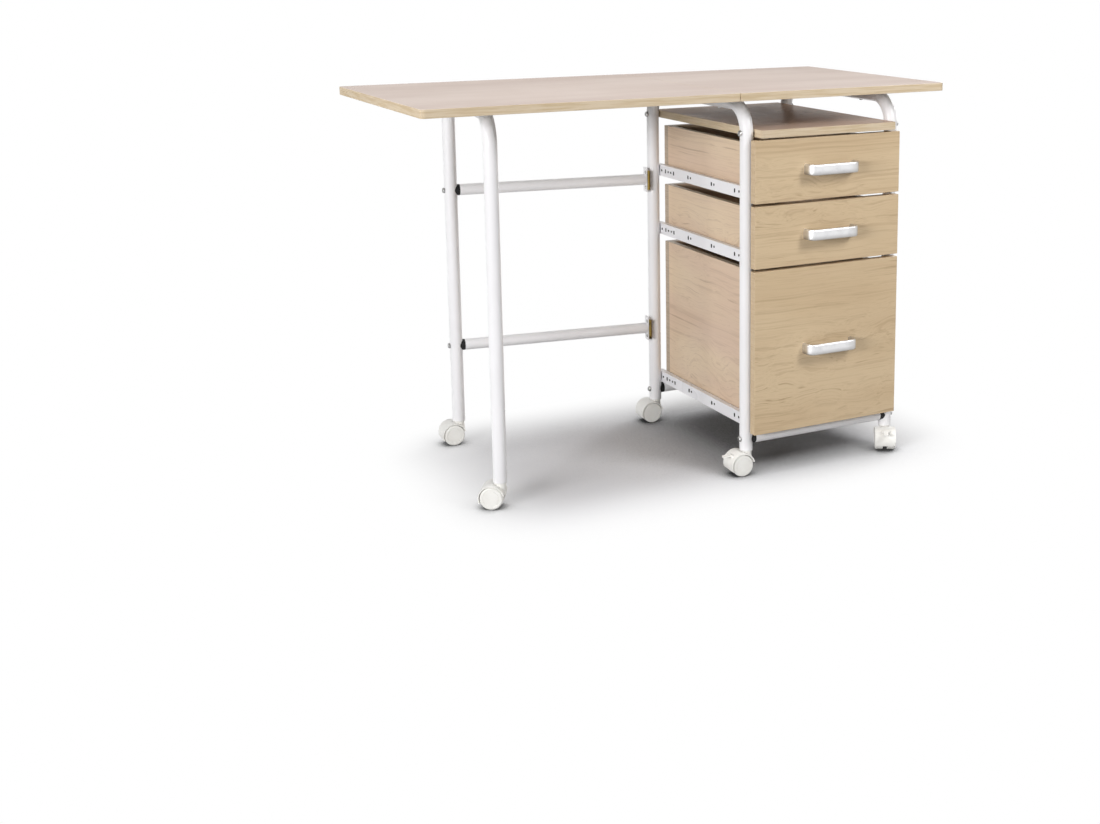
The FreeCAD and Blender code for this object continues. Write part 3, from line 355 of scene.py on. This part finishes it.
# Painted shade: the runners' outward webs, which show through the rails' holes
RUNNER_SHADE_TONE = srgb(52, 51, 49)
ROLLER_TONES = (srgb(236, 234, 228), srgb(222, 219, 210))
BLACK_TONES = (srgb(18, 18, 19), srgb(12, 12, 13))
SOCKET_TONES = (srgb(238, 237, 236), srgb(228, 227, 224))
SHELL_TONES = (srgb(247, 246, 242), srgb(242, 240, 235))
WHEEL_TONES = (srgb(246, 245, 241), srgb(240, 238, 233))
ZINC_TONES = (srgb(190, 190, 189), srgb(144, 144, 143))
BRASS_TONES = (srgb(134, 114, 63), srgb(60, 50, 28))
SILVER_TONES = (srgb(232, 232, 233), srgb(216, 216, 218))
# Handle tones for the painted shade on the lower edge and the painted reflection at the right end
SILVER_SHADE_TONE = srgb(168, 167, 166)
SILVER_REFLECTION_TONE = srgb(186, 183, 179)

top_laminate = laminate("top_laminate", "X", TOP_TONES, shift=(0.3, 0.9, 0.2), contrast=0.30,
                        band=BAND_TONES, band_axis="XY", roughness=0.55, specular=0.05)
board_faces(top_laminate, BACKING_TONES)
shelf_laminate = laminate("shelf_laminate", "X", SHELF_TONES, shift=(2.3, 1.4, 0.6), contrast=0.5,
                          band=BAND_TONES, band_axis="XY", roughness=0.30, specular=0.007)
board_faces(shelf_laminate, BACKING_TONES)
front_laminate = laminate("front_laminate", "X", FRONT_TONES, shift=(0.0, 0.7, 0.85), contrast=1.05,
                          band=FRONT_BAND, band_axis="XZ", swirl=0.055)
side_laminate = laminate("side_laminate", "Y", SIDE_TONES, shift=(1.2, 0.0, 0.8), contrast=0.95,
                         band=BAND_TONES, band_axis="YZ", swirl=0.08)
back_laminate = laminate("back_laminate", "X", SIDE_TONES, shift=(4.2, 0.3, 0.1), contrast=0.75,
                         band=END_TONES, band_axis="XZ", swirl=0.05)
bottom_panel = laminate("bottom_panel", "Y", BOTTOM_TONES, shift=(0.4, 0.8, 1.9), contrast=0.4)
white_frame = powder("white_frame", FRAME_TONE)
rail_white = powder("rail_white", RAIL_TONE, roughness=0.30, peel=0.06)
# Painted shade in the rails' punched holes and on the rail ends
painted_face_shade(rail_white, "Y", HOLE_SHADE_TONE)
runner_white = powder("runner_white", RAIL_TONE, roughness=0.30, peel=0.06)
# Painted shade on the runners' outward webs, seen through the rails' holes
painted_face_shade(runner_white, "X", RUNNER_SHADE_TONE)
roller_plastic = plastic("roller_plastic", *ROLLER_TONES, roughness=0.36)
black_plastic = plastic("black_plastic", *BLACK_TONES, roughness=0.52, specular=0.3)
socket_plastic = plastic("socket_plastic", *SOCKET_TONES, roughness=0.42)
caster_shell = plastic("caster_shell", *SHELL_TONES, roughness=0.34)
caster_wheel = plastic("caster_wheel", *WHEEL_TONES, roughness=0.38)
zinc_steel = metal("zinc_steel", *ZINC_TONES, roughness=0.34, brush="Z", brush_scale=(200.0, 900.0))
hinge_brass = metal("hinge_brass", *BRASS_TONES, roughness=0.36, brush="Z", brush_scale=(60.0, 900.0))
handle_silver = metal("handle_silver", *SILVER_TONES, roughness=0.36, brush="X", brush_scale=(12.0, 1500.0),
                      bump=0.02)
# Painted shade along the handles' lower edge and a painted reflection at their right end
painted_handle_shade(handle_silver, SILVER_SHADE_TONE, SILVER_REFLECTION_TONE)

FINISHES = (
    (("fixed_top", "leaf_board"), top_laminate),
    (("shelf_board",), shelf_laminate),
    (("_drawer_front",), front_laminate),
    (("_drawer_sides",), side_laminate),
    (("_drawer_back",), back_laminate),
    (("_drawer_bottom",), bottom_panel),
    (("_drawer_handle",), handle_silver),
    (("outer_rails",), rail_white),
    (("_runners",), runner_white),
    (("rail_rollers",), roller_plastic),
    (("_caps",), black_plastic),
    (("_bolts", "_screws"), zinc_steel),
    (("_fixed_leaves", "_moving_leaves", "hinge_pins"), hinge_brass),
    (("caster_sockets",), socket_plastic),
    (("_caster_wheels",), caster_wheel),
    (("_caster_hood", "_brake_lever"), caster_shell),
    (("_frame", "cross_tubes", "gate_stretchers", "gate_hinge_brackets"), white_frame),
)


def dress():
    """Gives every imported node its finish."""
    for name, shape in NODES.items():
        found = [paint for endings, paint in FINISHES if name.endswith(endings)]
        if not found:
            raise ValueError("no finish for " + name)
        shape.data.materials.clear()
        shape.data.materials.append(found[0].material)


def seen_share(tree, rays):
    """Share of the rays that look at a backdrop: camera, glossy and transmission rays."""
    total = rays.outputs["Is Camera Ray"]
    for name in ("Is Glossy Ray", "Is Transmission Ray"):
        both = tree.nodes.new("ShaderNodeMath")
        both.operation = "ADD"
        tree.links.new(total, both.inputs[0])
        tree.links.new(rays.outputs[name], both.inputs[1])
        total = both.outputs[0]
    return total


def near_shade(paint, reach, depth):
    """Share of shade that the floor gets from pieces within the reach."""
    near = paint.node("ShaderNodeAmbientOcclusion", samples=SHADE_SAMPLES)
    near.inputs["Distance"].default_value = reach
    return paint.ramp(near.outputs["AO"], *SHADE_RANGE, to_low=depth, to_high=0.0)


def make_floor():
    """Pale floor that keeps the shadow near the desk and fades to clear white further out."""
    mesh = bpy.data.meshes.new("floor")
    r = FLOOR_RADIUS
    mesh.from_pydata([(-r, -r, 0), (r, -r, 0), (r, r, 0), (-r, r, 0)], [], [(0, 1, 2, 3)])
    floor = bpy.data.objects.new("floor", mesh)
    floor.location = (0.0, 0.0, -FLOOR_DROP)
    bpy.context.scene.collection.objects.link(floor)
    paint = Paint("floor_paint")
    tree = paint.tree
    tree.nodes.remove(paint.bsdf)
    rays = paint.node("ShaderNodeLightPath")
    paler = tuple(min(1.0, c * MOTTLE_LIFT) for c in FLOOR_TONE[:3]) + (1.0,)
    shown = paint.blend(paint.noise(paint.place, MOTTLE_SCALE), FLOOR_TONE, paler)
    broad = near_shade(paint, CONTACT_REACH, CONTACT_DEPTH)
    touch = near_shade(paint, TOUCH_REACH, TOUCH_DEPTH)
    for shade in (broad, touch):
        shown = paint.blend(shade, shown, SHADE_TONE)
    diffuse = paint.node("ShaderNodeBsdfDiffuse")
    paint.put(diffuse.inputs["Color"], paint.blend(rays.outputs["Is Diffuse Ray"], shown, FLOOR_BOUNCE))
    glow = paint.node("ShaderNodeEmission")
    glow.inputs["Color"].default_value = CLEAR_WHITE
    glow.inputs["Strength"].default_value = 1.0
    outside = paint.vector("ABSOLUTE", paint.vector("SUBTRACT", paint.place, PATCH_MIDDLE))
    outside = paint.vector("MAXIMUM", paint.vector("SUBTRACT", outside, FLOOR_PATCH), (0.0, 0.0, 0.0))
    reach = paint.node("ShaderNodeVectorMath", operation="LENGTH")
    paint.put(reach.inputs[0], outside)
    far = paint.ramp(reach.outputs["Value"], 0.0, FLOOR_FADE)
    far = paint.math("MULTIPLY", far, paint.math("SUBTRACT", 1.0, touch))
    mix = paint.node("ShaderNodeMixShader")
    paint.put(mix.inputs[0], paint.math("MULTIPLY", seen_share(tree, rays), far))
    paint.put(mix.inputs[1], diffuse.outputs[0])
    paint.put(mix.inputs[2], glow.outputs[0])
    paint.put(tree.nodes["Material Output"].inputs["Surface"], mix.outputs[0])
    mesh.materials.append(paint.material)


def make_world():
    """White room: clear white to the camera and in reflections; as light, a soft dome from above."""
    world = bpy.data.worlds.new("studio")
    bpy.context.scene.world = world
    world.use_nodes = True
    tree = world.node_tree
    light = tree.nodes["Background"]
    light.inputs["Color"].default_value = CLEAR_WHITE
    place = tree.nodes.new("ShaderNodeTexCoord")
    split = tree.nodes.new("ShaderNodeSeparateXYZ")
    tree.links.new(place.outputs["Generated"], split.inputs[0])
    rise = tree.nodes.new("ShaderNodeMapRange")
    rise.interpolation_type = "SMOOTHSTEP"
    tree.links.new(split.outputs["Z"], rise.inputs["Value"])
    rise.inputs["From Min"].default_value = DOME_FOOT
    rise.inputs["From Max"].default_value = DOME_HEAD
    rise.inputs["To Min"].default_value = WORLD_LOW
    rise.inputs["To Max"].default_value = WORLD_HIGH
    tree.links.new(rise.outputs["Result"], light.inputs["Strength"])
    clear = tree.nodes.new("ShaderNodeBackground")
    clear.inputs["Color"].default_value = CLEAR_WHITE
    clear.inputs["Strength"].default_value = 1.0
    rays = tree.nodes.new("ShaderNodeLightPath")
    mix = tree.nodes.new("ShaderNodeMixShader")
    tree.links.new(seen_share(tree, rays), mix.inputs[0])
    tree.links.new(light.outputs[0], mix.inputs[1])
    tree.links.new(clear.outputs[0], mix.inputs[2])
    tree.links.new(mix.outputs[0], tree.nodes["World Output"].inputs["Surface"])


def make_lamp(name, place, target, width, height, share):
    """Soft box; share is how much of full light a facing surface at the target gets."""
    lamp = bpy.data.lights.new(name, "AREA")
    lamp.shape = "RECTANGLE"
    lamp.size = width
    lamp.size_y = height
    away = [p - t for p, t in zip(place, target)]
    reach = math.sqrt(sum(a * a for a in away))
    lamp.energy = share * math.pi ** 2 * reach ** 2
    made = bpy.data.objects.new(name, lamp)
    made.location = place
    tilt = math.atan2(math.hypot(away[0], away[1]), away[2])
    turn = math.atan2(away[0], -away[1])
    made.rotation_euler = (tilt, 0.0, turn)
    bpy.context.scene.collection.objects.link(made)


def make_camera():
    """The photograph's camera: its shift puts the optical axis at AXIS_PIXEL."""
    view = bpy.data.cameras.new("camera")
    view.sensor_fit = "HORIZONTAL"
    view.sensor_width = SENSOR_WIDTH
    view.lens = FOCAL_PIXELS / FRAME_WIDTH * SENSOR_WIDTH
    view.shift_x = (FRAME_WIDTH / 2 - AXIS_PIXEL[0]) / FRAME_WIDTH
    view.shift_y = (AXIS_PIXEL[1] - FRAME_HEIGHT / 2) / FRAME_WIDTH
    camera = bpy.data.objects.new("camera", view)
    camera.location = CAMERA_PLACE
    camera.rotation_euler = (math.radians(90.0 - CAMERA_PITCH), 0.0, math.radians(-CAMERA_YAW))
    bpy.context.scene.collection.objects.link(camera)
    bpy.context.scene.camera = camera


dress()
make_floor()
make_world()
make_lamp("overhead", place=(-0.55, -0.30, 3.2), target=(0.0, 0.0, 0.5), width=0.8, height=0.8, share=0.66)
make_lamp("front_right", place=(1.00, -1.50, 1.55), target=(0.27, -0.24, 0.50), width=0.6, height=0.6,
          share=0.54)
make_lamp("front_left", place=(-4.00, -2.10, 1.25), target=(0.10, 0.0, 0.45), width=2.0, height=0.6,
          share=0.66)
make_lamp("rear_fill", place=(3.40, 1.70, 1.60), target=(0.0, 0.0, 0.45), width=1.2, height=1.2, share=0.30)
make_camera()

bpy.context.scene.view_settings.view_transform = "Standard"
